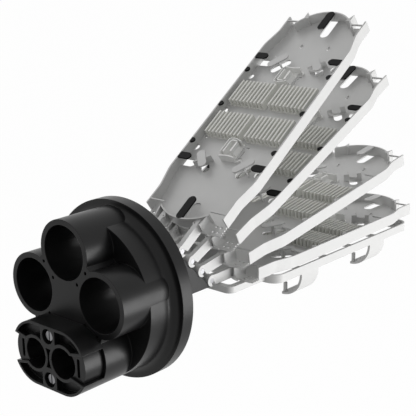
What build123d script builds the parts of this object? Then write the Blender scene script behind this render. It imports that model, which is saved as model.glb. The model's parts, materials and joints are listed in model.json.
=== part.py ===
import os
from math import atan2, cos, degrees, hypot, sin, sqrt

from build123d import *

os.makedirs("parts", exist_ok=True)

# Dome-type fibre splice closure with its dome taken off.
# Origin: centre of the flange, half way through its thickness.
# +X runs from the cable ports to the trays, +Z is up. Distances behind the flange count from its rear face.

# Base flange and collar
flange_radius = 75.0
flange_thickness = 11.3
flange_edge_round = 1.0
flange_ledge = 10.0
collar_length = 25.0
collar_fillet = 7.0
collar_wall = 4.0
spigot_height = 5.0
spigot_wall = 4.0
spigot_rim = 1.6
seal_section = 3.2
seal_groove_depth = 2.4
seal_clearance = 0.15

# Cable ports
port_length = 52.5
port_outer_radius = 26.6
port_bore_radius = 22.2
top_port_edge_clearance = 4.4
side_port_offset = 38.0
side_port_height = 10.0
oval_half_straight = 16.5
oval_outer_radius = 26.2
oval_wall = 2.6
oval_edge_clearance = 12.8
web_recess_radius = 1.4
web_recess_depth = 9.0
valley_bridge = 11.0

# Cable gland in the oval port
gland_reach = 20.5
gland_clearance = 0.3
gland_bore_radius = 12.6
gland_bore_spacing = 32.0
gland_parting = ((25.0, 9.0), (41.0, 12.5), (48.0, 14.0))
gland_bore_rim = 2.5
gland_boss_half_width = 8.2
gland_plate_gap = 0.3
gland_pocket_depth = 6.0
gland_pocket_rim = 2.0
gland_screw_offset = 18.0
gland_screw_recess_radius = 6.2
gland_screw_recess_depth = 5.0
gland_screw_head_radius = 4.0
gland_screw_head_height = 3.0
gland_screw_shank_radius = 2.0
gland_screw_clearance = 0.1
gland_screw_slot = 1.2
gland_screw_end = 3.0
gland_side_setback = 2.0
gland_side_slot = (15.5, 3.0)
gland_side_slot_place = 32.4
gland_middle_slot = (6.4, 16.0)
gland_backing = 6.0
gland_seal_length = 14.0
gland_inner_plate_thickness = 4.0

# Trays: u runs along a tray from its hinge end, v across it, w up from the underside of its floor
tray_count = 4
tray_length = 254.0
tray_main_half_width = 50.0
tray_end_half_width = 45.0
tray_wall = 1.6
tray_wall_height = 11.2
tray_floor = 1.5
tray_neck_start = 22.0
tray_neck_end = 44.0
tray_shoulder_run = 20.0
tray_far_end_length = 21.0
tray_bend_radius = 28.0
far_lobe_radius = 38.0
far_lobe_bulge = 11.0
near_lobe_radius = 46.0
near_lobe_reach = -9.0
lobe_wall = 1.4
near_lobe_half_width = 28.0
far_lobe_half_width = 33.0
lobe_lug_inset = (2.8, 27.0)
lobe_lug_size = (9.0, 5.0)
entry_bar_inset = 5.5
entry_bar_inner = (27.0, 30.5)
entry_bar_section = (1.2, 1.3)
platform_reach = -11.0
platform_outer = 44.0
platform_slot = (1.9, 3.0)
platform_slot_rows = (-2.2, -7.6)
platform_slot_places = (29.6, 34.6, 39.6)
platform_tooth_places = (-2.8, -5.6, -8.0, -10.0)
platform_tooth = (1.2, 2.5)
guide_wall_ends = ((-10.9, 25.6), (-0.6, 27.6))
guide_wall_foot = 4.5

# Retaining tabs over the tray, each with a slightly larger hole in the floor below
tab_thickness = 1.2
tab_hole_margin = 0.8
side_tab_places = (59.5, 196.5)
side_tab_length = 12.8
side_tab_width = 7.0
small_tab_places = (79.0, 128.5, 176.5)
small_tab_length = 3.6
small_tab_width = 5.4
end_tab_length = 26.0
end_tab_width = 8.0

# Fibre guide posts: an oblong top on a thin plate that stands across it
post_top_length = 22.0
post_top_width = 8.0
post_top_thickness = 1.3
post_height = 9.6
post_plate_length = 17.5
post_plate_thickness = 1.3
near_post_place = (61.0, 24.2)
far_post_place = (194.0, 22.2)
post_turn = 39.5
floor_hole_radius = 1.3
floor_end_hole = (222.0, 15.7)
floor_side_hole_insets = ((137.5, 4.0), (92.5, 5.0))
floor_stud_offset = 2.8
floor_stud_radius = 0.9
floor_stud_height = 3.0

# Splice combs
comb_rib_count = 10
comb_length = 27.5
comb_near_start = 93.0
comb_row_gap = 14.5
comb_inner_edge = 3.2
comb_side_gap = 6.6
comb_rib_thickness = 1.7
comb_height = 9.9
comb_base = 1.2

# Fibre clips on the centre line: s runs from a clip's open end to its closed end, v as in the tray
clip_places = (82.0, 174.0)
clip_height = 9.4
clip_base = 0.8
clip_base_corners = ((-13.4, -4.2), (8.6, 11.0))
clip_outer_ribbon = ((-9.7, 10.2), (7.6, 10.2), (8.2, 3.0), (5.8, -4.0))
clip_inner_ribbon = ((-9.3, 7.2), (5.8, 7.2), (5.6, 0.6))
clip_ribbon_bend = 2.2
clip_ribbon_thickness = (0.8, 1.2)
clip_rib_ends = (-7.5, 4.0)
clip_rib_sides = (-1.1, 0.7)
clip_ramp_ends = (-7.0, 3.2)
clip_ramp = (5.3, 2.9)
clip_guard = ((-13.7, 9.5), (-12.5, 1.2), (-13.4, -7.5))
clip_guard_height = 8.6
clip_guard_tail = ((-13.4, -7.5), (-12.2, -9.8), (-9.8, -10.6))
clip_guard_tail_height = 3.2
clip_guard_thickness = 1.1
clip_slots = ((5.4, -7.8, 5.0, 90), (-2.4, -7.4, 7.2, 0), (-8.0, -7.6, 5.6, 90))
clip_slot_width = 1.2

# Hinge bracket, arms and pins
first_pivot_behind = 45.4
first_pivot_height = 22.0
pivot_step = (12.2, -11.9)
pivot_to_tray = 36.2
pivot_above_floor = 4.8
tray_open_angles = (35.0, 25.0, 9.5, 0.8)
arm_outer = 22.2
arm_thickness = 4.6
arm_height = 9.4
arm_ear_place = (-8.6, 18.2)
arm_ear_radius = 2.0
arm_ear_hole_radius = 0.8
arm_ear_depth = 3.0
barrel_radius = 5.2
barrel_length = 10.0
barrel_clearance = 0.35
barrel_mouth = 3.6
barrel_mouth_turn = 60.0
hinge_pin_radius = 2.4
hinge_pin_running = 0.06
bracket_core_half_width = 11.6
bracket_cheek_half_width = 21.0
bracket_root_behind = 9.0
bracket_nose = 7.0
bracket_top_cover = 5.5
bracket_post_half_width = 10.8
bracket_post_clearance = 0.5
bracket_peak_ahead = 2.0
bracket_root_drop = 8.0
cheek_below_pins = 4.2
cheek_end_ahead = 14.0
cheek_setback = 3.0
cheek_root_height = 14.0

# Carrier under the lowest tray, with cable storage hooks
carrier_drop = 0.7
carrier_height = 8.0
carrier_wall = 2.0
carrier_floor = 1.8
carrier_start_behind = 137.0
carrier_length = 225.0
carrier_corner = 12.0
carrier_neck_behind = 89.0
carrier_neck_half_width = 37.0
carrier_neck_corner = 7.0
carrier_neck_thickness = 2.4
carrier_neck_rim = 6.0
carrier_neck_edge_height = 6.0
carrier_tongue_behind = 56.0
carrier_tongue_half_width = 11.0
carrier_rib = 6.0
carrier_bay_count = 5
carrier_bay_corner = 5.0
hooks_behind = (175.0, 288.5)
hook_width = 26.0
hook_thickness = 2.4
hook_drop = 24.0
hook_radius = 23.0
hook_tip_angle = 24.0
hook_peg_radius = 1.9
hook_peg_height = 10.0
hook_peg_inset = 21.0
hook_peg_end_margin = 0.8
carrier_screw_radius = 1.6
carrier_screw_clearance = 0.1
carrier_screw_head = 3.2
carrier_screw_head_height = 2.0
carrier_screw_bite = 7.0
carrier_screw_hole_rest = 1.0
carrier_screw_rows = (-20.0, -7.0)
carrier_screw_offset = 7.0

flange_rear = flange_thickness / 2
flange_front = -flange_thickness / 2
rear_edge = flange_rear + spigot_height
collar_radius = flange_radius - flange_ledge
top_port_height = flange_radius - top_port_edge_clearance - port_outer_radius
oval_height = oval_edge_clearance + oval_outer_radius - flange_radius
spigot_radius = top_port_height + port_bore_radius + spigot_rim
seal_groove_radius = spigot_radius + seal_clearance
port_mouth = flange_front - port_length
collar_front = flange_front - collar_length
gland_front = port_mouth - gland_reach
oval_bore_radius = oval_outer_radius - oval_wall
port_centres = {
    "top": (0.0, top_port_height),
    "left": (side_port_offset, side_port_height),
    "right": (-side_port_offset, side_port_height),
}
tray_shoulder_end = tray_length - tray_far_end_length
tray_shoulder_start = tray_shoulder_end - tray_shoulder_run
far_lobe_reach = tray_length + far_lobe_bulge
entry_bar_places = (entry_bar_inset, tray_length - entry_bar_inset)
comb_outer_edge = tray_main_half_width - comb_side_gap
carrier_half_width = tray_main_half_width
floor_hole_places = [floor_end_hole]
floor_hole_places += [(u, tray_main_half_width - inset) for u, inset in floor_side_hole_insets]


def save(node, shape):
    """Write one physical piece."""
    export_step(shape, f"parts/{node}.step")


def along_x(start):
    """Section plane across the closure's axis: sketch x is +Y, sketch y is +Z."""
    return Plane(origin=(start, 0, 0), x_dir=(0, 1, 0), z_dir=(1, 0, 0))


def prism(sketch, start, end):
    """Extrude a section in Y and Z from one X to another."""
    return extrude(along_x(start) * sketch, amount=end - start)


def stadium(radius, half_straight=oval_half_straight, height=oval_height):
    """Oblong section of the oval port."""
    return Pos(0, height) * SlotCenterToCenter(2 * half_straight, 2 * radius)


def crossings(a, b, radius_a, radius_b):
    """Two points where two circles cross."""
    dx, dy = b[0] - a[0], b[1] - a[1]
    gap = hypot(dx, dy)
    reach = (gap**2 + radius_a**2 - radius_b**2) / (2 * gap)
    half_chord = sqrt(radius_a**2 - reach**2)
    middle = (a[0] + dx * reach / gap, a[1] + dy * reach / gap)
    return [
        (middle[0] - dy * side * half_chord / gap, middle[1] + dx * side * half_chord / gap)
        for side in (1, -1)
    ]


def valley_pairs():
    """Neighbouring port outlines as (centre, centre, radius, radius)."""
    pairs = []
    for side, name in ((1, "left"), (-1, "right")):
        oval_end = (side * oval_half_straight, oval_height)
        pairs.append((port_centres["top"], port_centres[name], port_outer_radius, port_outer_radius))
        pairs.append((port_centres[name], oval_end, port_outer_radius, oval_outer_radius))
    return pairs


def flange_and_collar():
    """Turned form of the flange, its collar and the rear spigot."""
    with BuildPart() as turned:
        with BuildSketch(Plane.XY) as half:
            with BuildLine():
                Polyline(
                    (collar_front, 0),
                    (collar_front, collar_radius),
                    (flange_front, collar_radius),
                    (flange_front, flange_radius),
                    (flange_rear, flange_radius),
                    (flange_rear, spigot_radius),
                    (rear_edge, spigot_radius),
                    (rear_edge, 0),
                    (collar_front, 0),
                )
            make_face()
            corners = half.vertices().filter_by(lambda v: v.Y > 1)
            inner = [v for v in corners if abs(v.X - flange_front) < 0.01 and v.Y < flange_radius - 1]
            rim = [v for v in corners if v.Y > flange_radius - 1 and v.X < 0]
            fillet(inner, collar_fillet)
            fillet(rim, flange_edge_round)
        revolve(axis=Axis.X)
    return turned.part


def base_housing():
    """One moulding: flange, collar, three round ports, the oval port and the web between them."""
    body = flange_and_collar()
    solid = Sketch() + [Pos(*c) * Circle(port_outer_radius) for c in port_centres.values()]
    solid += stadium(oval_outer_radius)
    centre_web = Polyline(
        port_centres["top"],
        port_centres["left"],
        (oval_half_straight, oval_height),
        (-oval_half_straight, oval_height),
        port_centres["right"],
        port_centres["top"],
    )
    solid += make_face(centre_web)
    for a, b, radius_a, radius_b in valley_pairs():
        solid += valley_bridge_face(a, b, radius_a, radius_b)
    body += prism(solid, port_mouth, flange_rear)
    hollow = Circle(spigot_radius - spigot_wall)
    hollow -= [Pos(*c) * Circle(port_outer_radius) for c in port_centres.values()]
    hollow -= stadium(oval_outer_radius)
    body -= prism(hollow, collar_front + collar_wall, rear_edge + 1)
    bores = Sketch() + [Pos(*c) * Circle(port_bore_radius) for c in port_centres.values()]
    body -= prism(bores, port_mouth - 1, rear_edge + 1)
    body -= prism(stadium(oval_bore_radius), port_mouth - 1, rear_edge + 1)
    for a, b, radius_a, radius_b in valley_pairs():
        for point in crossings(a, b, radius_a, radius_b):
            body -= prism(Pos(*point) * Circle(web_recess_radius), port_mouth - 1, port_mouth + web_recess_depth)
    groove = Circle(seal_groove_radius + seal_section + 2 * seal_clearance) - Circle(seal_groove_radius)
    body -= prism(groove, flange_rear - seal_groove_depth, flange_rear + 1)
    return body


def valley_bridge_face(a, b, radius_a, radius_b):
    """Quadrilateral that closes the outer valley between two neighbouring ports."""
    outer = max(crossings(a, b, radius_a, radius_b), key=lambda p: abs(p[0]) + 0.2 * p[1] * (p[1] > 0))
    ends = []
    for centre, radius in ((a, radius_a), (b, radius_b)):
        turn = atan2(outer[1] - centre[1], outer[0] - centre[0])
        other = b if centre is a else a
        away = atan2(other[1] - centre[1], other[0] - centre[0])
        step = valley_bridge / 2 / radius
        side = 1 if sin(turn - away) > 0 else -1
        angle = turn + side * step
        ends.append((centre[0] + radius * cos(angle), centre[1] + radius * sin(angle)))
    return make_face(Polyline(a, ends[0], ends[1], b, a))


def flange_seal():
    """Round-section ring in the groove of the flange's rear face."""
    ring_radius = seal_groove_radius + seal_section / 2 + seal_clearance
    seat = flange_rear - seal_groove_depth + seal_clearance
    section = Pos(seat + seal_section / 2, ring_radius) * Circle(seal_section / 2)
    return revolve(section, axis=Axis.X)


def gland_bores(radius):
    """The two cable passages, side by side."""
    return Sketch() + [
        Pos(side * gland_bore_spacing / 2, oval_height) * Circle(radius) for side in (-1, 1)
    ]


def gland_half(side):
    """Region of one clamp plate: above or below the cable passages and as far as the web between them."""
    gap = gland_plate_gap / 2
    edge = [(gland_bore_spacing / 2, gap), *gland_parting, (gland_parting[-1][0], 2 * oval_outer_radius)]
    mirrored = [(-y, z) for y, z in reversed(edge)]
    points = [(y, oval_height + side * z) for y, z in edge + mirrored]
    return make_face(Polyline(*points, points[0]))


def gland_plate_section(side):
    """Section of one clamp plate, cut out round the cable passages."""
    return (stadium(oval_outer_radius) & gland_half(side)) - gland_bores(gland_bore_radius)


def gland_plate(side):
    """Front clamp plate with two lightening pockets and a recess for its screw."""
    section = gland_plate_section(side)
    plate = prism(section, gland_front, port_mouth)
    pockets = offset(stadium(oval_outer_radius) & gland_half(side), -gland_pocket_rim)
    pockets -= gland_bores(gland_bore_radius + gland_bore_rim)
    pockets -= Pos(0, oval_height) * Rectangle(2 * gland_boss_half_width, 4 * oval_outer_radius)
    plate -= prism(pockets, gland_front - 1, gland_front + gland_pocket_depth)
    web_slot = Pos(0, oval_height) * Rectangle(*gland_middle_slot) - gland_bores(gland_bore_radius + gland_bore_rim)
    plate -= prism(web_slot, gland_front - 1, gland_front + gland_pocket_depth)
    screw_at = Pos(0, oval_height + side * gland_screw_offset)
    plate -= prism(screw_at * Circle(gland_screw_recess_radius), gland_front - 1, gland_front + gland_screw_recess_depth)
    plate -= prism(screw_at * Circle(gland_screw_shank_radius + gland_screw_clearance), gland_front, port_mouth + 1)
    return plate


def gland_screw_holes(start, end):
    """Clearance holes for the two clamp screws."""
    holes = Sketch() + [
        Pos(0, oval_height + side * gland_screw_offset)
        * Circle(gland_screw_shank_radius + gland_screw_clearance)
        for side in (-1, 1)
    ]
    return prism(holes, start, end)


def gland_body():
    """Two side pieces between the clamp plates, on a full plate that stands in the port."""
    inner = oval_bore_radius - gland_clearance
    sides = stadium(inner)
    for side in (-1, 1):
        sides -= offset(gland_half(side), gland_plate_gap)
    sides -= Pos(0, oval_height) * Rectangle(gland_bore_spacing, 2 * oval_outer_radius)
    front = gland_front + gland_side_setback
    body = prism(sides, front, port_mouth + gland_backing / 2)
    slots = Sketch() + [
        Pos(side * gland_side_slot_place, oval_height) * SlotOverall(*gland_side_slot, rotation=90) for side in (-1, 1)
    ]
    body -= prism(slots, front - 1, front + gland_pocket_depth)
    body += prism(stadium(inner), port_mouth, port_mouth + gland_backing)
    body -= prism(gland_bores(gland_bore_radius), gland_front - 1, port_mouth + gland_backing + 1)
    return body - gland_screw_holes(gland_front - 1, port_mouth + gland_backing + 1)


def gland_disc(start, thickness, clearance):
    """Oblong disc behind the gland body, pierced by the cables and the clamp screws."""
    disc = prism(stadium(oval_bore_radius - clearance), start, start + thickness)
    disc -= prism(gland_bores(gland_bore_radius), start - 1, start + thickness + 1)
    return disc - gland_screw_holes(start - 1, start + thickness + 1)


def gland_screw(side):
    """Clamp screw that reaches from a front plate to the inner plate."""
    length = gland_reach - gland_screw_recess_depth + gland_backing + gland_seal_length + gland_inner_plate_thickness
    seat = gland_front + gland_screw_recess_depth
    at = Pos(0, oval_height + side * gland_screw_offset)
    head = prism(at * Circle(gland_screw_head_radius), seat - gland_screw_head_height, seat)
    slot = at * Rectangle(gland_screw_slot, 3 * gland_screw_head_radius)
    head -= prism(slot, seat - gland_screw_head_height, seat - gland_screw_head_height + gland_screw_slot)
    return head + prism(at * Circle(gland_screw_shank_radius), seat, seat + length + gland_screw_end)


def pivot(index):
    """Hinge axis of one tray in X and Z."""
    return (
        flange_rear + first_pivot_behind + index * pivot_step[0],
        first_pivot_height + index * pivot_step[1],
    )


def tray_place(index):
    """From a tray's own u, v, w to the closure."""
    x, z = pivot(index)
    return (
        Pos(x, 0, z)
        * Rot(0, -tray_open_angles[index], 0)
        * Pos(pivot_to_tray, 0, -pivot_above_floor)
    )


def slab(sketch, low, high):
    """Extrude a plan section in u and v from one height to another."""
    return extrude(Pos(0, 0, low) * sketch, amount=high - low)


def side_face(points):
    """Section in X and Z."""
    return Plane.XZ * make_face(Polyline(*points, points[0]))


def across(face, half_width):
    """Extrude a side section equally to both sides of the centre plane."""
    return extrude(face, amount=half_width, both=True)


def tray_plan(inset=0.0):
    """Waisted plan of the tray: full width in the middle, narrower at both ends."""
    main = tray_main_half_width - inset
    end = tray_end_half_width - inset
    upper = [
        (0, end),
        (tray_neck_start, end),
        (tray_neck_end, main),
        (tray_shoulder_start, main),
        (tray_shoulder_end, end),
        (tray_length, end),
    ]
    lower = [(u, -v) for u, v in reversed(upper)]
    face = make_face(Polyline(*upper, *lower, upper[0]))
    bends = [p for p in face.vertices() if tray_neck_start - 1 < p.X < tray_shoulder_end + 1]
    return fillet(bends, tray_bend_radius)


def lobe(reach, radius, half_width, inset=0.0):
    """Round bulge at one end of the tray, cut off at the entry platforms."""
    away = 1 if reach > 0 else -1
    centre = reach - away * radius
    disc = Pos(centre, 0) * Circle(radius - inset)
    strip = Pos(centre + away * radius, 0) * Rectangle(2 * radius, 2 * half_width)
    return disc & strip


def lobe_walls():
    """Curved wall ribbons that close the two bulges."""
    near = lobe(near_lobe_reach, near_lobe_radius, near_lobe_half_width)
    near -= lobe(near_lobe_reach, near_lobe_radius, near_lobe_half_width + 1, lobe_wall)
    far = lobe(far_lobe_reach, far_lobe_radius, far_lobe_half_width)
    far -= lobe(far_lobe_reach, far_lobe_radius, far_lobe_half_width + 1, lobe_wall)
    return near + far


def lobe_edge(reach, radius, v):
    """Where the outside of a bulge lies at one v."""
    away = 1 if reach > 0 else -1
    return reach - away * (radius - sqrt(radius**2 - v**2))


def tab_sections(margin=0.0):
    """Plan of every retaining tab, or of its larger hole with a margin."""
    tabs = []
    inner = tray_main_half_width - tray_wall
    for side in (-1, 1):
        rows = [(u, side_tab_length, side_tab_width) for u in side_tab_places]
        rows += [(u, small_tab_length, small_tab_width) for u in small_tab_places]
        for u, length, width in rows:
            full = 2 * (length + margin)
            tabs.append(Pos(u, side * inner) * SlotOverall(full, width + 2 * margin, rotation=90))
    for reach, away in ((near_lobe_reach, -1), (far_lobe_reach, 1)):
        outline = SlotOverall(end_tab_length + 2 * margin, end_tab_width + 2 * margin)
        tabs.append(Pos(reach - away * end_tab_length / 2, 0) * outline)
    return tabs


def post_places():
    """Place of each guide post, turned along its oblong top."""
    places = []
    for side in (-1, 1):
        places.append(Pos(near_post_place[0], side * near_post_place[1]) * Rot(0, 0, side * post_turn))
        places.append(Pos(far_post_place[0], side * far_post_place[1]) * Rot(0, 0, -side * post_turn))
    return places


def entry_bars():
    """Thin bars that join the walls over the entries, open below."""
    thick, tall = entry_bar_section
    bars = Sketch()
    for u, inner in zip(entry_bar_places, entry_bar_inner):
        for side in (-1, 1):
            length = tray_end_half_width - inner
            bars += Pos(u, side * (inner + length / 2)) * Rectangle(thick, length)
    return slab(bars, tray_wall_height - tall, tray_wall_height)


def lobe_lugs():
    """Small triangular lugs on the outside of the far bulge."""
    long, wide = lobe_lug_size
    inset, v = lobe_lug_inset
    u = far_lobe_reach - inset
    lugs = Sketch()
    for side in (-1, 1):
        corners = [(u - long, side * v), (u - long, side * (v - wide)), (u, side * v)]
        lugs += make_face(Polyline(*corners, corners[0]))
    return lugs


def platform(side):
    """Entry platform beside an arm: tie slots, edge teeth and a guide wall with a rounded foot."""
    width = platform_outer - arm_outer
    plate = Pos(platform_reach / 2, side * (arm_outer + width / 2)) * Rectangle(-platform_reach, width)
    thick, reach = platform_tooth
    for u in platform_tooth_places:
        corners = [(u - thick / 2, 0), (u + thick / 2, 0), (u, reach)]
        edge = [(x, side * (platform_outer - 0.1 + y)) for x, y in corners]
        plate += make_face(Polyline(*edge, edge[0]))
    slots = [Pos(u, side * v) * Rectangle(*platform_slot) for u in platform_slot_rows for v in platform_slot_places]
    return plate - slots


def guide_wall(side):
    """Wall between an arm and its platform, with a concave foot on the platform's side."""
    (u0, v0), (u1, v1) = guide_wall_ends
    length = hypot(u1 - u0, v1 - v0)
    slant = degrees(atan2(v1 - v0, u1 - u0))
    place = Pos(u0, side * v0) * Rot(0, 0, side * slant)
    wall = slab(Pos(length / 2, 0) * Rectangle(length, lobe_wall), 0, tray_wall_height)
    foot_middle = side * (lobe_wall + guide_wall_foot) / 2
    foot = slab(Pos(length / 2, foot_middle) * Rectangle(length, guide_wall_foot), 0, tray_floor + guide_wall_foot)
    hollow = Pos(length / 2, side * (lobe_wall / 2 + guide_wall_foot), tray_floor + guide_wall_foot)
    foot -= hollow * Rot(0, 90, 0) * Cylinder(guide_wall_foot, length + 2)
    return place * (wall + foot)


def tray():
    """One moulded splice tray with its hinge arms, in its own frame."""
    near = (near_lobe_reach, near_lobe_radius, near_lobe_half_width)
    far = (far_lobe_reach, far_lobe_radius, far_lobe_half_width)
    floor = tray_plan() + lobe(*near) + lobe(*far) + platform(1) + platform(-1)
    within = tray_plan(tray_wall) + lobe(*near, lobe_wall) + lobe(*far, lobe_wall)
    side_walls = tray_plan() - tray_plan(tray_wall)
    for end in (0, tray_length):
        side_walls -= Pos(end, 0) * Rectangle(4 * tray_wall, 2 * (tray_end_half_width - tray_wall))
    body = slab(floor, 0, tray_floor)
    body += slab(side_walls + lobe_walls() + lobe_lugs(), 0, tray_wall_height)
    body += entry_bars()
    keep = tray_plan(tray_wall / 2) + lobe(*near, lobe_wall / 2) + lobe(*far, lobe_wall / 2)
    holes = Sketch() + [outline & within for outline in tab_sections(tab_hole_margin)]
    tops = Sketch()
    plates = Sketch()
    for place in post_places():
        tops += place * SlotOverall(post_top_length, post_top_width)
        plate = place * Rectangle(post_plate_thickness, post_plate_length)
        holes += place * SlotOverall(post_top_length, post_top_width) - plate
        plates += plate
    holes += [Pos(u, side * v) * Circle(floor_hole_radius) for u, v in floor_hole_places for side in (-1, 1)]
    body -= slab(holes + clip_slot_plan(), -1, tray_floor + 0.5)
    body += slab((Sketch() + tab_sections()) & keep, tray_wall_height - tab_thickness, tray_wall_height)
    body += slab(plates, 0, post_height - post_top_thickness / 2)
    body += slab(tops, post_height - post_top_thickness, post_height)
    studs = Sketch() + [
        Pos(u + floor_stud_offset, side * v) * Circle(floor_stud_radius)
        for u, v in floor_hole_places
        for side in (-1, 1)
    ]
    body += slab(studs, tray_floor / 2, floor_stud_height)
    for side in (-1, 1):
        body += arm(side) + guide_wall(side)
    return body


def arm(side):
    """Hinge arm with an open-sided barrel that snaps over its pin, and an ear with a small hole near its root."""
    middle = side * (arm_outer - arm_thickness / 2)
    root = lobe_edge(near_lobe_reach, near_lobe_radius, abs(middle))
    length = root + pivot_to_tray + 1
    bar = Pos(-pivot_to_tray + length / 2, middle, pivot_above_floor) * Box(length, arm_thickness, arm_height)
    barrel_middle = side * (arm_outer - barrel_length / 2)
    at_pin = Pos(-pivot_to_tray, barrel_middle, pivot_above_floor) * Rot(90, 0, 0)
    shape = bar + at_pin * Cylinder(barrel_radius, barrel_length)
    shape -= at_pin * Cylinder(hinge_pin_radius + hinge_pin_running, barrel_length + 2)
    mouth = Pos(-pivot_to_tray, barrel_middle, pivot_above_floor) * Rot(0, barrel_mouth_turn, 0) * Pos(barrel_radius, 0, 0)
    shape -= mouth * Box(2 * barrel_radius, barrel_length + 2, barrel_mouth)
    top = pivot_above_floor + arm_height / 2
    ear_at = Pos(arm_ear_place[0], side * arm_ear_place[1])
    shape += slab(ear_at * Circle(arm_ear_radius), top - arm_ear_depth - 1, top)
    return shape - slab(ear_at * Circle(arm_ear_hole_radius), top - arm_ear_depth, top + 1)


def comb(row, side):
    """One splice comb: a base with parallel ribs that hold splice sleeves between them."""
    start = comb_near_start + row * (comb_length + comb_row_gap)
    width = comb_outer_edge - comb_inner_edge
    middle = (start + comb_length / 2, side * (comb_inner_edge + width / 2))
    shape = slab(Pos(*middle) * Rectangle(comb_length, width), tray_floor, tray_floor + comb_base)
    pitch = (width - comb_rib_thickness) / (comb_rib_count - 1)
    ribs = Sketch()
    for number in range(comb_rib_count):
        v = side * (comb_inner_edge + comb_rib_thickness / 2 + number * pitch)
        ribs += Pos(middle[0], v) * Rectangle(comb_length, comb_rib_thickness)
    return shape + slab(ribs, tray_floor, comb_height)


def clip_slot_plan():
    """Slots in the tray's floor beside its two clips."""
    slots = Sketch()
    for place, away in zip(clip_places, (1, -1)):
        for s, v, length, turn in clip_slots:
            slots += Pos(place + away * s, v) * SlotOverall(length, clip_slot_width, rotation=turn)
    return slots


def fibre_clip(place, away):
    """Centre clip: two thin ribbons round its closed end, a rib with a ramp beside it, and a curved guard."""
    (s0, v0), (s1, v1) = clip_base_corners
    base = Pos((s0 + s1) / 2, (v0 + v1) / 2) * RectangleRounded(s1 - s0, v1 - v0, clip_ribbon_bend)
    walls = Sketch()
    for points, thick in zip((clip_outer_ribbon, clip_inner_ribbon), clip_ribbon_thickness):
        walls += trace(FilletPolyline(*points, radius=clip_ribbon_bend), thick)
    rib_length = clip_rib_ends[1] - clip_rib_ends[0]
    rib_width = clip_rib_sides[1] - clip_rib_sides[0]
    rib = Pos(clip_rib_ends[0] + rib_length / 2, clip_rib_sides[0] + rib_width / 2) * Rectangle(rib_length, rib_width)
    shape = slab(base, tray_floor, tray_floor + clip_base) + slab(walls + rib, tray_floor, clip_height)
    top, run = clip_ramp
    low_side, high_side = clip_rib_sides
    ramp = [(high_side, tray_floor), (high_side, top), (low_side, top), (low_side - run, tray_floor)]
    shape += prism(make_face(Polyline(*ramp, ramp[0])), *clip_ramp_ends)
    shape += slab(trace(ThreePointArc(*clip_guard), clip_guard_thickness), tray_floor, clip_guard_height)
    shape += slab(trace(ThreePointArc(*clip_guard_tail), clip_guard_thickness), tray_floor, clip_guard_tail_height)
    if away < 0:
        shape = mirror(shape, Plane.YZ)
    return Pos(place, 0, 0) * shape


carrier_top = pivot(tray_count - 1)[1] - pivot_above_floor - carrier_drop
bracket_bottom = carrier_top
bracket_root = flange_rear + bracket_root_behind
carrier_start = flange_rear + carrier_start_behind
carrier_bottom = carrier_top - carrier_height
upright = (Align.CENTER, Align.CENTER, Align.MIN)
hanging = (Align.CENTER, Align.CENTER, Align.MAX)


def hinge_bracket():
    """Stepped bracket with four pin seats, on a post that stands in the collar."""
    first, last = pivot(0), pivot(tray_count - 1)
    slope = pivot_step[1] / pivot_step[0]
    cover = bracket_top_cover * sqrt(1 + slope**2)
    nose = last[0] + bracket_nose
    core = [
        (bracket_root, bracket_bottom),
        (nose, bracket_bottom),
        (nose, last[1] + cover + slope * bracket_nose),
        (first[0] - bracket_peak_ahead, first[1] + cover - bracket_peak_ahead * slope),
        (bracket_root, first[1] - bracket_root_drop),
    ]
    body = across(side_face(core), bracket_core_half_width)
    drop = cheek_below_pins * sqrt(1 + slope**2)
    end = first[0] - cheek_end_ahead
    cheek = [
        (bracket_root + cheek_setback, bracket_bottom),
        (last[0] + (bracket_bottom - last[1] + drop) / slope, bracket_bottom),
        (end, first[1] - drop + slope * (end - first[0])),
        (bracket_root + cheek_setback, bracket_bottom + cheek_root_height),
    ]
    cheeks = across(side_face(cheek), bracket_cheek_half_width)
    through = 2 * bracket_cheek_half_width + 2
    for index in range(tray_count):
        x, z = pivot(index)
        cheeks -= Pos(x, 0, z) * Rot(90, 0, 0) * Cylinder(barrel_radius + barrel_clearance, through)
    body += cheeks
    for index in range(tray_count):
        x, z = pivot(index)
        body -= Pos(x, 0, z) * Rot(90, 0, 0) * Cylinder(hinge_pin_radius + hinge_pin_running, through)
    low = oval_height + oval_outer_radius + bracket_post_clearance
    high = top_port_height - port_outer_radius - bracket_post_clearance
    post = Pos(0, (low + high) / 2) * Rectangle(2 * bracket_post_half_width, high - low)
    body += prism(post, collar_front + collar_wall, bracket_root + cheek_setback)
    depth = carrier_screw_bite + carrier_screw_hole_rest
    for x, y in carrier_screw_places():
        hole = Cylinder(carrier_screw_radius + carrier_screw_clearance, depth + 1, align=upright)
        body -= Pos(x, y, bracket_bottom - 1) * hole
    return body


def hinge_pin(index):
    """Plain pin that carries both arms of one tray."""
    x, z = pivot(index)
    return Pos(x, 0, z) * Rot(90, 0, 0) * Cylinder(hinge_pin_radius, 2 * arm_outer)


def hook_section(side):
    """J-shaped section of a cable storage hook in Y and Z."""
    radius = hook_radius
    centre = (side * (carrier_half_width - radius), carrier_bottom - hook_drop + radius)
    ring = Circle(radius) - Circle(radius - hook_thickness)
    lower_half = Pos(0, -radius / 2) * Rectangle(2 * radius, radius)
    inner_quarter = Pos(-side * radius / 2, -radius / 2) * Rectangle(radius, radius)
    tip = Rot(0, 0, side * hook_tip_angle) * Pos(-side * radius, 0) * Rectangle(2 * radius, 4 * radius)
    curl = (ring & lower_half) - (tip & inner_quarter)
    shank_height = carrier_bottom + carrier_floor - centre[1]
    shank = Pos(side * (carrier_half_width - hook_thickness / 2), centre[1] + shank_height / 2)
    return Pos(*centre) * curl + shank * Rectangle(hook_thickness, shank_height)


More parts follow.
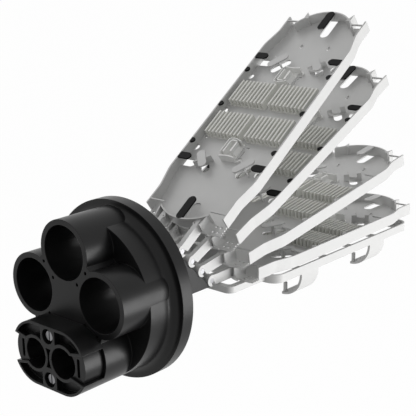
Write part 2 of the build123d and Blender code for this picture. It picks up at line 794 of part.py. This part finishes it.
def tray_carrier():
    """Open basket under the trays, with a neck to the bracket and J-shaped storage hooks."""
    middle = carrier_start + carrier_length / 2
    bottom = carrier_bottom
    plan = Pos(middle, 0) * RectangleRounded(carrier_length, 2 * carrier_half_width, carrier_corner)
    inner = Pos(middle, 0) * RectangleRounded(
        carrier_length - 2 * carrier_wall, 2 * (carrier_half_width - carrier_wall), carrier_corner - carrier_wall
    )
    body = slab(plan - inner, bottom, carrier_top) + slab(plan, bottom, bottom + carrier_floor)
    bay = (carrier_length - 2 * carrier_wall - (carrier_bay_count + 1) * carrier_rib) / carrier_bay_count
    for number in range(carrier_bay_count):
        u = carrier_start + carrier_wall + carrier_rib + bay / 2 + number * (bay + carrier_rib)
        for side in (-1, 1):
            depth = carrier_half_width - carrier_wall - 2 * carrier_rib
            window = Pos(u, side * (carrier_rib / 2 + depth / 2)) * RectangleRounded(bay, depth, carrier_bay_corner)
            body -= slab(window, bottom - 1, bottom + carrier_floor + 1)
    neck_start = flange_rear + carrier_neck_behind
    into_basket = carrier_start + carrier_rib
    neck = carrier_neck_plan(neck_start, into_basket, carrier_neck_half_width, carrier_neck_corner)
    opening = carrier_neck_plan(
        neck_start + carrier_neck_rim, carrier_start, carrier_neck_half_width - carrier_neck_rim, carrier_neck_corner / 2
    )
    body += slab(neck - opening, carrier_top - carrier_neck_thickness, carrier_top)
    edge = carrier_neck_plan(
        neck_start + carrier_wall, into_basket + 2 * carrier_wall, carrier_neck_half_width - carrier_wall,
        carrier_neck_corner - carrier_wall,
    )
    body += slab(neck - edge, carrier_top - carrier_neck_edge_height, carrier_top)
    tongue_start = flange_rear + carrier_tongue_behind
    tongue_length = neck_start + carrier_neck_rim / 2 - tongue_start
    tongue = Pos(tongue_start + tongue_length / 2, 0) * Rectangle(tongue_length, 2 * carrier_tongue_half_width)
    body += slab(tongue, carrier_top - carrier_neck_thickness, carrier_top)
    for behind in hooks_behind:
        for side in (-1, 1):
            place = flange_rear + behind
            body += prism(hook_section(side), place, place + hook_width)
            peg_low = carrier_bottom - hook_drop + hook_thickness / 2
            peg_x = place + hook_peg_end_margin + hook_peg_radius
            peg = Pos(peg_x, side * (carrier_half_width - hook_peg_inset), peg_low)
            body += peg * Cylinder(hook_peg_radius, hook_peg_height, align=upright)
    for x, y in carrier_screw_places():
        hole = Cylinder(carrier_screw_radius + carrier_screw_clearance, 4 * carrier_neck_thickness)
        body -= Pos(x, y, carrier_top) * hole
    return body


def carrier_neck_plan(start, end, half_width, corner):
    """Plan of the neck: rounded corners at the bracket, square where it enters the basket."""
    length = end - start
    rounded = Pos(start + length / 2, 0) * RectangleRounded(length, 2 * half_width, corner)
    square = Pos(end - length / 4, 0) * Rectangle(length / 2, 2 * half_width)
    return rounded + square


def carrier_screw_places():
    """Four screws that fix the carrier's tongue to the bracket."""
    last = pivot(tray_count - 1)[0]
    return [(last + row, side * carrier_screw_offset) for row in carrier_screw_rows for side in (-1, 1)]


def carrier_screw(x, y):
    """Screw of the carrier, head down."""
    seat = Pos(x, y, carrier_top - carrier_neck_thickness)
    shank = seat * Cylinder(carrier_screw_radius, carrier_neck_thickness + carrier_screw_bite, align=upright)
    return shank + seat * Cylinder(carrier_screw_head, carrier_screw_head_height, align=hanging)


save("base_housing", base_housing())
save("flange_seal", flange_seal())
save("gland_body", gland_body())
save("gland_plate_upper", gland_plate(1))
save("gland_plate_lower", gland_plate(-1))
seal_start = port_mouth + gland_backing
save("gland_seal", gland_disc(seal_start, gland_seal_length, gland_clearance / 2))
save("gland_inner_plate", gland_disc(seal_start + gland_seal_length, gland_inner_plate_thickness, gland_clearance))
save("gland_screw_upper", gland_screw(1))
save("gland_screw_lower", gland_screw(-1))
save("hinge_bracket", hinge_bracket())
save("tray_carrier", tray_carrier())
for number, (x, y) in enumerate(carrier_screw_places(), 1):
    save(f"carrier_screw_{number}", carrier_screw(x, y))
plain_tray = tray()
comb_names = {(0, -1): "near_right", (0, 1): "near_left", (1, -1): "far_right", (1, 1): "far_left"}
for index in range(tray_count):
    place = tray_place(index)
    number = index + 1
    save(f"hinge_pin_{number}", hinge_pin(index))
    save(f"splice_tray_{number}", place * plain_tray)
    for (row, side), name in comb_names.items():
        save(f"splice_comb_{number}_{name}", place * comb(row, side))
    save(f"fibre_clip_{number}_near", place * fibre_clip(clip_places[0], 1))
    save(f"fibre_clip_{number}_far", place * fibre_clip(clip_places[1], -1))
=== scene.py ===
import json
import math

import bmesh
import bpy
from mathutils import Euler, Matrix, Vector


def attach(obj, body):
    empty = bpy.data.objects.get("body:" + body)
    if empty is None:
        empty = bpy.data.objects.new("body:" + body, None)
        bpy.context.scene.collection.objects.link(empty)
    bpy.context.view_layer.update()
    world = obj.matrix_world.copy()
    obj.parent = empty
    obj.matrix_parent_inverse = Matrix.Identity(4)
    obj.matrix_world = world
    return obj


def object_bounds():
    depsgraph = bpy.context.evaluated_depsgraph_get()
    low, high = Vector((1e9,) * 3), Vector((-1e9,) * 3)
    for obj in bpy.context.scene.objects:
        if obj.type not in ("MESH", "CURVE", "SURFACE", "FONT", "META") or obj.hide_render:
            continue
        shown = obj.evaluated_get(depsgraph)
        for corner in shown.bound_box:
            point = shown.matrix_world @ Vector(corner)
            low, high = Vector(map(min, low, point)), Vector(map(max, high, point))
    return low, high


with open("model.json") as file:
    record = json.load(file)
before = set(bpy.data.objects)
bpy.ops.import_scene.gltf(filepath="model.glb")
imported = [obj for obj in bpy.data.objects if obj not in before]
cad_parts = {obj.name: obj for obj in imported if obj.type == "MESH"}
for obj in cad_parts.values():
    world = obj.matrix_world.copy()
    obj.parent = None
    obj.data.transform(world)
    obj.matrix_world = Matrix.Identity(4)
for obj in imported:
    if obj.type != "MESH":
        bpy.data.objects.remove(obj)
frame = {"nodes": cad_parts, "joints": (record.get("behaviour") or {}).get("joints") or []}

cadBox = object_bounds()
print("frame loaded:", len(frame["nodes"]), "nodes")

mm = 0.001

# Sockets of the colour mix node that share a name
mixFactor, mixFirst, mixSecond, mixResult = 0, 6, 7, 2


def linearColour(code):
    # sRGB hex to linear red, green, blue, alpha
    channels = [int(code[i:i + 2], 16) / 255 for i in (1, 3, 5)]
    return [c / 12.92 if c <= 0.04045 else ((c + 0.055) / 1.055) ** 2.4 for c in channels] + [1.0]


def addNode(tree, kind, settings=None, links=None):
    # settings: input name or number, or node property, to value; links: input to another node's output
    node = tree.nodes.new(kind)
    for name, value in (settings or {}).items():
        if isinstance(name, int) or name in node.inputs:
            node.inputs[name].default_value = value
        else:
            setattr(node, name, value)
    for name, output in (links or {}).items():
        tree.links.new(output, node.inputs[name])
    return node


def emptyTree(owner):
    # node tree of a material or world, with nothing in it
    owner.use_nodes = True
    owner.node_tree.nodes.clear()
    return owner.node_tree


def addObject(name, data):
    holder = bpy.data.objects.new(name, data)
    bpy.context.scene.collection.objects.link(holder)
    return holder


def grain(sizeMm):
    # texture scale that gives features of this size on an object measured in metres
    return 1.0 / (sizeMm * mm)


def around(value, spread):
    # map range settings for a value that varies by the spread to either side
    return {"To Min": value - spread, "To Max": value + spread}


# Injection-moulded thermoplastics: an even skin with a faint flow mottle, edges softened by a small radius
plastics = {
    # the real grain of all of them is under 0.1 mm, and is drawn at about 0.5 mm so that it shows
    # glass-filled polypropylene, carbon black, moulded in a fine spark-eroded mould: deep and satin
    "polypropyleneBlack": {
        "hex": "#101011", "mottleHex": "#141414", "roughness": 0.34, "roughnessSpread": 0.04,
        "specular": 0.22, "ior": 1.49, "mottleMm": 9.0, "grainMm": 0.5, "grainDepthMm": 0.006,
        "edgeMm": 0.7,
    },
    # ABS, light grey, moulded in a polished mould: pale, smooth, slightly glossy
    "absLightGrey": {
        "hex": "#cfcfce", "mottleHex": "#cbcbca", "roughness": 0.45, "roughnessSpread": 0.05,
        "specular": 0.4, "ior": 1.53, "mottleMm": 14.0, "grainMm": 0.6, "grainDepthMm": 0.004,
        "edgeMm": 0.25,
    },
    # polypropylene, natural with a cream cast, moulded: softer sheen than the trays
    "polypropyleneNatural": {
        "hex": "#eaeae6", "mottleHex": "#e7e7e1", "roughness": 0.5, "roughnessSpread": 0.05,
        "specular": 0.4, "ior": 1.49, "mottleMm": 6.0, "grainMm": 0.5, "grainDepthMm": 0.003,
        "edgeMm": 0.12,
    },
    # ABS, white, moulded: the fibre clips, made brighter than the trays round them as a painted highlight for
    # the light that catches their sloped ramps
    "absWhiteAndPaintedHighlight": {
        "hex": "#f4f4f2", "mottleHex": "#f1f1ef", "roughness": 0.4, "roughnessSpread": 0.05,
        "specular": 0.5, "ior": 1.53, "mottleMm": 6.0, "grainMm": 0.6, "grainDepthMm": 0.004,
        "edgeMm": 0.15,
    },
    # painted shade: black, nearly without sheen, on the retaining tabs of the two upper trays, which are
    # moulded with the tray in its own grey
    "paintedShadeBlack": {
        "hex": "#0d0d0e", "mottleHex": "#0f0f0f", "roughness": 0.6, "roughnessSpread": 0.05,
        "specular": 0.08, "ior": 1.53, "mottleMm": 4.0, "grainMm": 0.5, "grainDepthMm": 0.006,
        "edgeMm": 0.25,
    },
}

# What all the moulded plastics share
moulding = {"mottleDetail": 2.0, "grainDetail": 1.0, "grainStrength": 0.6, "edgeSamples": 4}


def mouldedPlastic(name, look):
    material = bpy.data.materials.new(name)
    tree = emptyTree(material)
    place = addNode(tree, "ShaderNodeTexCoord").outputs["Object"]
    mottle = addNode(
        tree, "ShaderNodeTexNoise",
        {"Scale": grain(look["mottleMm"]), "Detail": moulding["mottleDetail"]}, {"Vector": place},
    )
    skin = addNode(
        tree, "ShaderNodeTexNoise",
        {"Scale": grain(look["grainMm"]), "Detail": moulding["grainDetail"]}, {"Vector": place},
    )
    colour = addNode(
        tree, "ShaderNodeMix",
        {
            "data_type": "RGBA",
            mixFirst: linearColour(look["hex"]),
            mixSecond: linearColour(look["mottleHex"]),
        },
        {mixFactor: mottle.outputs["Fac"]},
    )
    roughness = addNode(
        tree, "ShaderNodeMapRange",
        around(look["roughness"], look["roughnessSpread"]), {"Value": mottle.outputs["Fac"]},
    )
    edge = addNode(
        tree, "ShaderNodeBevel", {"samples": moulding["edgeSamples"], "Radius": look["edgeMm"] * mm},
    )
    bump = addNode(
        tree, "ShaderNodeBump",
        {"Strength": moulding["grainStrength"], "Distance": look["grainDepthMm"] * mm},
        {"Height": skin.outputs["Fac"], "Normal": edge.outputs["Normal"]},
    )
    shader = addNode(
        tree, "ShaderNodeBsdfPrincipled",
        {"IOR": look["ior"], "Specular IOR Level": look["specular"]},
        {
            "Base Color": colour.outputs[mixResult],
            "Roughness": roughness.outputs["Result"],
            "Normal": bump.outputs["Normal"],
        },
    )
    addNode(tree, "ShaderNodeOutputMaterial", {}, {"Surface": shader.outputs["BSDF"]})
    return material


# Zinc-plated steel, turned: dull grey, its sheen broken up by turning marks, drawn coarser than they are
steel = {
    "hex": "#88888a", "roughness": 0.38, "roughnessSpread": 0.08,
    "turningMm": 0.35, "turningDetail": 2.0, "edgeMm": 0.2, "edgeSamples": 4,
}


def zincPlatedSteel():
    material = bpy.data.materials.new("steelZincPlated")
    tree = emptyTree(material)
    place = addNode(tree, "ShaderNodeTexCoord").outputs["Object"]
    turning = addNode(
        tree, "ShaderNodeTexNoise",
        {"Scale": grain(steel["turningMm"]), "Detail": steel["turningDetail"]}, {"Vector": place},
    )
    roughness = addNode(
        tree, "ShaderNodeMapRange",
        around(steel["roughness"], steel["roughnessSpread"]), {"Value": turning.outputs["Fac"]},
    )
    edge = addNode(
        tree, "ShaderNodeBevel", {"samples": steel["edgeSamples"], "Radius": steel["edgeMm"] * mm},
    )
    shader = addNode(
        tree, "ShaderNodeBsdfPrincipled",
        {"Base Color": linearColour(steel["hex"]), "Metallic": 1.0},
        {"Roughness": roughness.outputs["Result"], "Normal": edge.outputs["Normal"]},
    )
    addNode(tree, "ShaderNodeOutputMaterial", {}, {"Surface": shader.outputs["BSDF"]})
    return material


# Nitrile rubber, moulded: matt black with a dusty skin, its grain drawn coarser than it is
rubber = {
    "hex": "#101011", "roughness": 0.75, "ior": 1.52,
    "grainMm": 0.6, "grainDetail": 3.0, "grainStrength": 0.5, "grainDepthMm": 0.02,
}


def nitrileRubber():
    material = bpy.data.materials.new("rubberNitrile")
    tree = emptyTree(material)
    place = addNode(tree, "ShaderNodeTexCoord").outputs["Object"]
    dust = addNode(
        tree, "ShaderNodeTexNoise",
        {"Scale": grain(rubber["grainMm"]), "Detail": rubber["grainDetail"]}, {"Vector": place},
    )
    bump = addNode(
        tree, "ShaderNodeBump",
        {"Strength": rubber["grainStrength"], "Distance": rubber["grainDepthMm"] * mm},
        {"Height": dust.outputs["Fac"]},
    )
    shader = addNode(
        tree, "ShaderNodeBsdfPrincipled",
        {
            "Base Color": linearColour(rubber["hex"]),
            "Roughness": rubber["roughness"],
            "IOR": rubber["ior"],
        },
        {"Normal": bump.outputs["Normal"]},
    )
    addNode(tree, "ShaderNodeOutputMaterial", {}, {"Surface": shader.outputs["BSDF"]})
    return material


finishes = {name: mouldedPlastic(name, look) for name, look in plastics.items()}
finishes["steelZincPlated"] = zincPlatedSteel()
finishes["rubberNitrile"] = nitrileRubber()
print("materials made:", len(finishes))

# What each kind of node is made of, by the start of its name; the first match counts
finishOfNode = {
    "base_housing": "polypropyleneBlack",
    "gland_seal": "rubberNitrile",
    "gland_screw": "steelZincPlated",
    "gland_": "polypropyleneBlack",
    "flange_seal": "rubberNitrile",
    "hinge_bracket": "polypropyleneBlack",
    "hinge_pin": "steelZincPlated",
    "tray_carrier": "absLightGrey",
    "carrier_screw": "steelZincPlated",
    "splice_tray": "absLightGrey",
    "splice_comb": "polypropyleneNatural",
    # the fibre clips' white carries a painted highlight
    "fibre_clip": "absWhiteAndPaintedHighlight",
}
for nodeName, part in frame["nodes"].items():
    finish = next(value for start, value in finishOfNode.items() if nodeName.startswith(start))
    for holder in part.material_slots:
        holder.material = finishes[finish]
print("finishes put on the frame's pieces")

# Tray layout in millimetres: u along the tray from its hinge end, v across it, w up from its underside
trayLayout = {
    "pivotToTray": 36.2, "pivotAboveFloor": 4.8, "wallTop": 11.2, "tabThickness": 1.2,
    "endTabs": {"hinge": (-9.0, 17.0), "far": (239.0, 265.0)}, "endTabWidth": 8.0,
}

# Tabs on both side walls: places along the tray, inner end, width, run of the outline past the cover's edge
sideTabs = {
    "tabCover": {"places": (59.5, 196.5), "inner": 35.6, "width": 7.0, "run": 4.0},
    "smallTabCover": {"places": (79.0, 128.5, 176.5), "inner": 44.8, "width": 5.4, "run": 3.0},
}

# Painted shade on the tabs, as thin black skins: how far they stand off, where the wall cuts them straight,
# which trays have them
tabShadeSkins = {"skin": 0.12, "edge": 49.2, "roundSteps": 10, "trays": (1, 2)}


def trayMatrix(number):
    # a tray's own u, v, w in millimetres to the closure in metres; its joint's lower limit is flat
    joint = next(j for j in frame["joints"] if j["name"] == f"tray_{number}_hinge")
    opened = math.radians(-joint["range_deg"][0])
    shift = Vector((trayLayout["pivotToTray"], 0, -trayLayout["pivotAboveFloor"])) * mm
    return (
        Matrix.Translation(Vector(joint["pos_m"]))
        @ Matrix.Rotation(-opened, 4, "Y")
        @ Matrix.Translation(shift)
        @ Matrix.Scale(mm, 4)
    )


def roundedBar(start, end, width):
    # outline of an oblong with round ends between two points in u and v
    a, b = Vector(start), Vector(end)
    along = (b - a).normalized()
    radius = width / 2
    turn = math.atan2(along.y, along.x)
    steps = tabShadeSkins["roundSteps"]
    points = []
    for centre, first in ((b - along * radius, turn - math.pi / 2), (a + along * radius, turn + math.pi / 2)):
        for step in range(steps + 1):
            angle = first + math.pi * step / steps
            points.append((centre.x + radius * math.cos(angle), centre.y + radius * math.sin(angle)))
    return points


def tabCover(name, start, end, width, number):
    # thin black skin of painted shade over a retaining tab: the tab's outline, cut straight inside the wall
    skin, edge = tabShadeSkins["skin"], tabShadeSkins["edge"]
    matrix = trayMatrix(number)
    low = trayLayout["wallTop"] - trayLayout["tabThickness"] - skin
    high = trayLayout["wallTop"] + skin
    outline = [(u, max(-edge, min(edge, v))) for u, v in roundedBar(start, end, width + 2 * skin)]
    mesh = bpy.data.meshes.new(name)
    shape = bmesh.new()
    base = shape.faces.new([shape.verts.new(matrix @ Vector((u, v, low))) for u, v in outline])
    grown = bmesh.ops.extrude_face_region(shape, geom=[base])["geom"]
    lift = matrix.to_3x3() @ Vector((0, 0, high - low))
    bmesh.ops.translate(shape, verts=[v for v in grown if isinstance(v, bmesh.types.BMVert)], vec=lift)
    bmesh.ops.recalc_face_normals(shape, faces=shape.faces)
    shape.to_mesh(mesh)
    shape.free()
    piece = addObject(name, mesh)
    mesh.materials.append(finishes["paintedShadeBlack"])
    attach(piece, f"tray_{number}")


def paintShadeOnTabs(number):
    for side, label in ((-1, "right"), (1, "left")):
        for kind, tab in sideTabs.items():
            start = side * (tab["inner"] - tabShadeSkins["skin"])
            end = side * (tabShadeSkins["edge"] + tab["run"])
            for count, u in enumerate(tab["places"], 1):
                tabCover(f"{kind}{number}{label}{count}", (u, start), (u, end), tab["width"], number)
    for label, (start, end) in trayLayout["endTabs"].items():
        tabCover(f"endTabShadeSkin{number}{label}", (start, 0), (end, 0), trayLayout["endTabWidth"], number)


# lay the painted shade on the tabs of the two upper trays
for number in tabShadeSkins["trays"]:
    paintShadeOnTabs(number)
print("black tabs made")

# Studio: white all round for the camera and in reflections, plain light for everything else
studio = {
    "floorDrop": 1.3, "floorHalfWidth": 25.0, "floorHex": "#f2f2f2", "floorShadowShare": 0.02,
    "whiteHex": "#ffffff", "whiteStrength": 1.0, "ambient": 0.44, "aimMm": (150.0, 0.0, 40.0),
}

# Square soft lamps: the side each shines from, its distance and width in metres, its power
lamps = {
    "keyLamp": {"from": (0.45, -0.9, -0.2), "distance": 2.0, "width": 1.2, "watts": 36.0},
    "fillLamp": {"from": (0.1, 1.0, 0.9), "distance": 2.6, "width": 1.6, "watts": 15.0},
}


def seenAsBackground(tree):
    # 1 for rays that should find the white background: camera, glossy and transmission
    path = addNode(tree, "ShaderNodeLightPath")
    seen = path.outputs["Is Camera Ray"]
    for ray in ("Is Glossy Ray", "Is Transmission Ray"):
        links = {0: seen, 1: path.outputs[ray]}
        seen = addNode(tree, "ShaderNodeMath", {"operation": "MAXIMUM"}, links).outputs["Value"]
    return seen


def makeWorld():
    world = bpy.data.worlds.new("studioWhite")
    tree = emptyTree(world)
    strength = addNode(
        tree, "ShaderNodeMapRange", {"To Min": studio["ambient"], "To Max": studio["whiteStrength"]},
        {"Value": seenAsBackground(tree)},
    )
    light = addNode(
        tree, "ShaderNodeBackground", {"Color": linearColour(studio["whiteHex"])},
        {"Strength": strength.outputs["Result"]},
    )
    addNode(tree, "ShaderNodeOutputWorld", {}, {"Surface": light.outputs["Background"]})
    bpy.context.scene.world = world


def makeFloor():
    half = studio["floorHalfWidth"]
    low = cadBox[0][2] - studio["floorDrop"]
    mesh = bpy.data.meshes.new("studioFloor")
    corners = [(-half, -half, low), (half, -half, low), (half, half, low), (-half, half, low)]
    mesh.from_pydata(corners, [], [(0, 1, 2, 3)])
    floor = addObject("studioFloor", mesh)
    material = bpy.data.materials.new("paperWhite")
    tree = emptyTree(material)
    paper = addNode(tree, "ShaderNodeBsdfDiffuse", {"Color": linearColour(studio["floorHex"])})
    white = addNode(
        tree, "ShaderNodeEmission",
        {"Color": linearColour(studio["whiteHex"]), "Strength": studio["whiteStrength"]},
    )
    share = addNode(
        tree, "ShaderNodeMapRange", {"To Max": 1.0 - studio["floorShadowShare"]},
        {"Value": seenAsBackground(tree)},
    )
    blend = addNode(
        tree, "ShaderNodeMixShader", {},
        {"Fac": share.outputs["Result"], 1: paper.outputs["BSDF"], 2: white.outputs["Emission"]},
    )
    addNode(tree, "ShaderNodeOutputMaterial", {}, {"Surface": blend.outputs["Shader"]})
    mesh.materials.append(material)


def makeLamp(name, setup):
    lamp = bpy.data.lights.new(name, "AREA")
    lamp.size = setup["width"]
    lamp.energy = setup["watts"]
    holder = addObject(name, lamp)
    away = Vector(setup["from"]).normalized()
    holder.location = Vector(studio["aimMm"]) * mm + away * setup["distance"]
    holder.rotation_euler = away.to_track_quat("Z", "Y").to_euler()
    holder.visible_camera = False


makeWorld()
makeFloor()
for lampName, lampSetup in lamps.items():
    makeLamp(lampName, lampSetup)
print("studio made")

# The photograph's viewpoint
cameraSetup = {
    "placeMm": (-545.07, -582.90, 287.52), "anglesDeg": (74.4153, 0.8751, -48.5221),
    "lensMm": 89.423, "sensorMm": 36.0, "clipStart": 0.01, "clipEnd": 50.0,
}


def makeCamera():
    camera = bpy.data.cameras.new("photoCamera")
    camera.sensor_width = cameraSetup["sensorMm"]
    camera.lens = cameraSetup["lensMm"]
    camera.clip_start = cameraSetup["clipStart"]
    camera.clip_end = cameraSetup["clipEnd"]
    holder = addObject("photoCamera", camera)
    holder.location = Vector(cameraSetup["placeMm"]) * mm
    holder.rotation_euler = Euler([math.radians(a) for a in cameraSetup["anglesDeg"]])
    bpy.context.scene.camera = holder


makeCamera()
bpy.context.scene.view_settings.view_transform = "Standard"
print("camera made")
